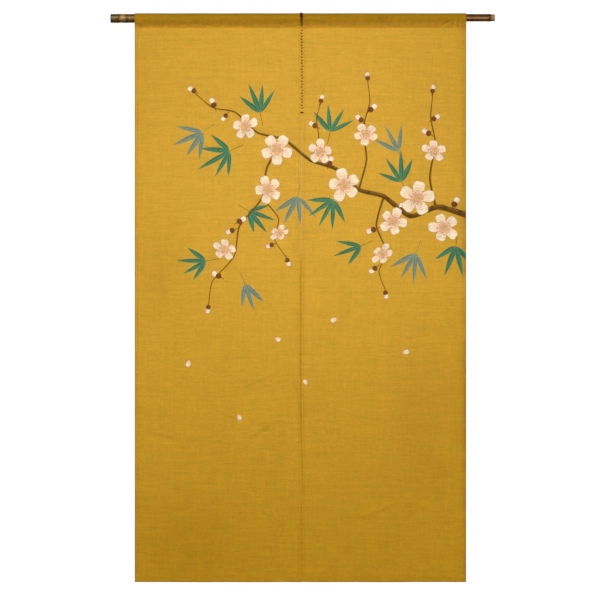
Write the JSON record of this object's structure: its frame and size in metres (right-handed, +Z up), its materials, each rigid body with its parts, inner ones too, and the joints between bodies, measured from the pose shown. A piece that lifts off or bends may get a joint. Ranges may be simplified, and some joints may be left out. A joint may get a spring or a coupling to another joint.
{
  "type": "noren door curtain on a bamboo rod",
  "caption": "Door curtain of side-by-side linen panels, sewn together at the top and slit below, hanging from a bamboo rod that runs through their sewn pocket.",
  "frame": {"origin": "on the rod's axis at mid-length, where the panels meet", "axes": "+Z up, +X to the right along the rod as seen from the front, the front of the cloth facing -Y"},
  "size_m": [1.013, 0.0276, 1.5002],
  "materials": {
    "linen": "plain-woven slubbed linen, mustard",
    "bamboo": "smoked bamboo, satin"
  },
  "bodies": {
    "root": {"left_panel": "linen", "right_panel": "linen", "bamboo_rod": "bamboo"}
  },
  "joints": []
}
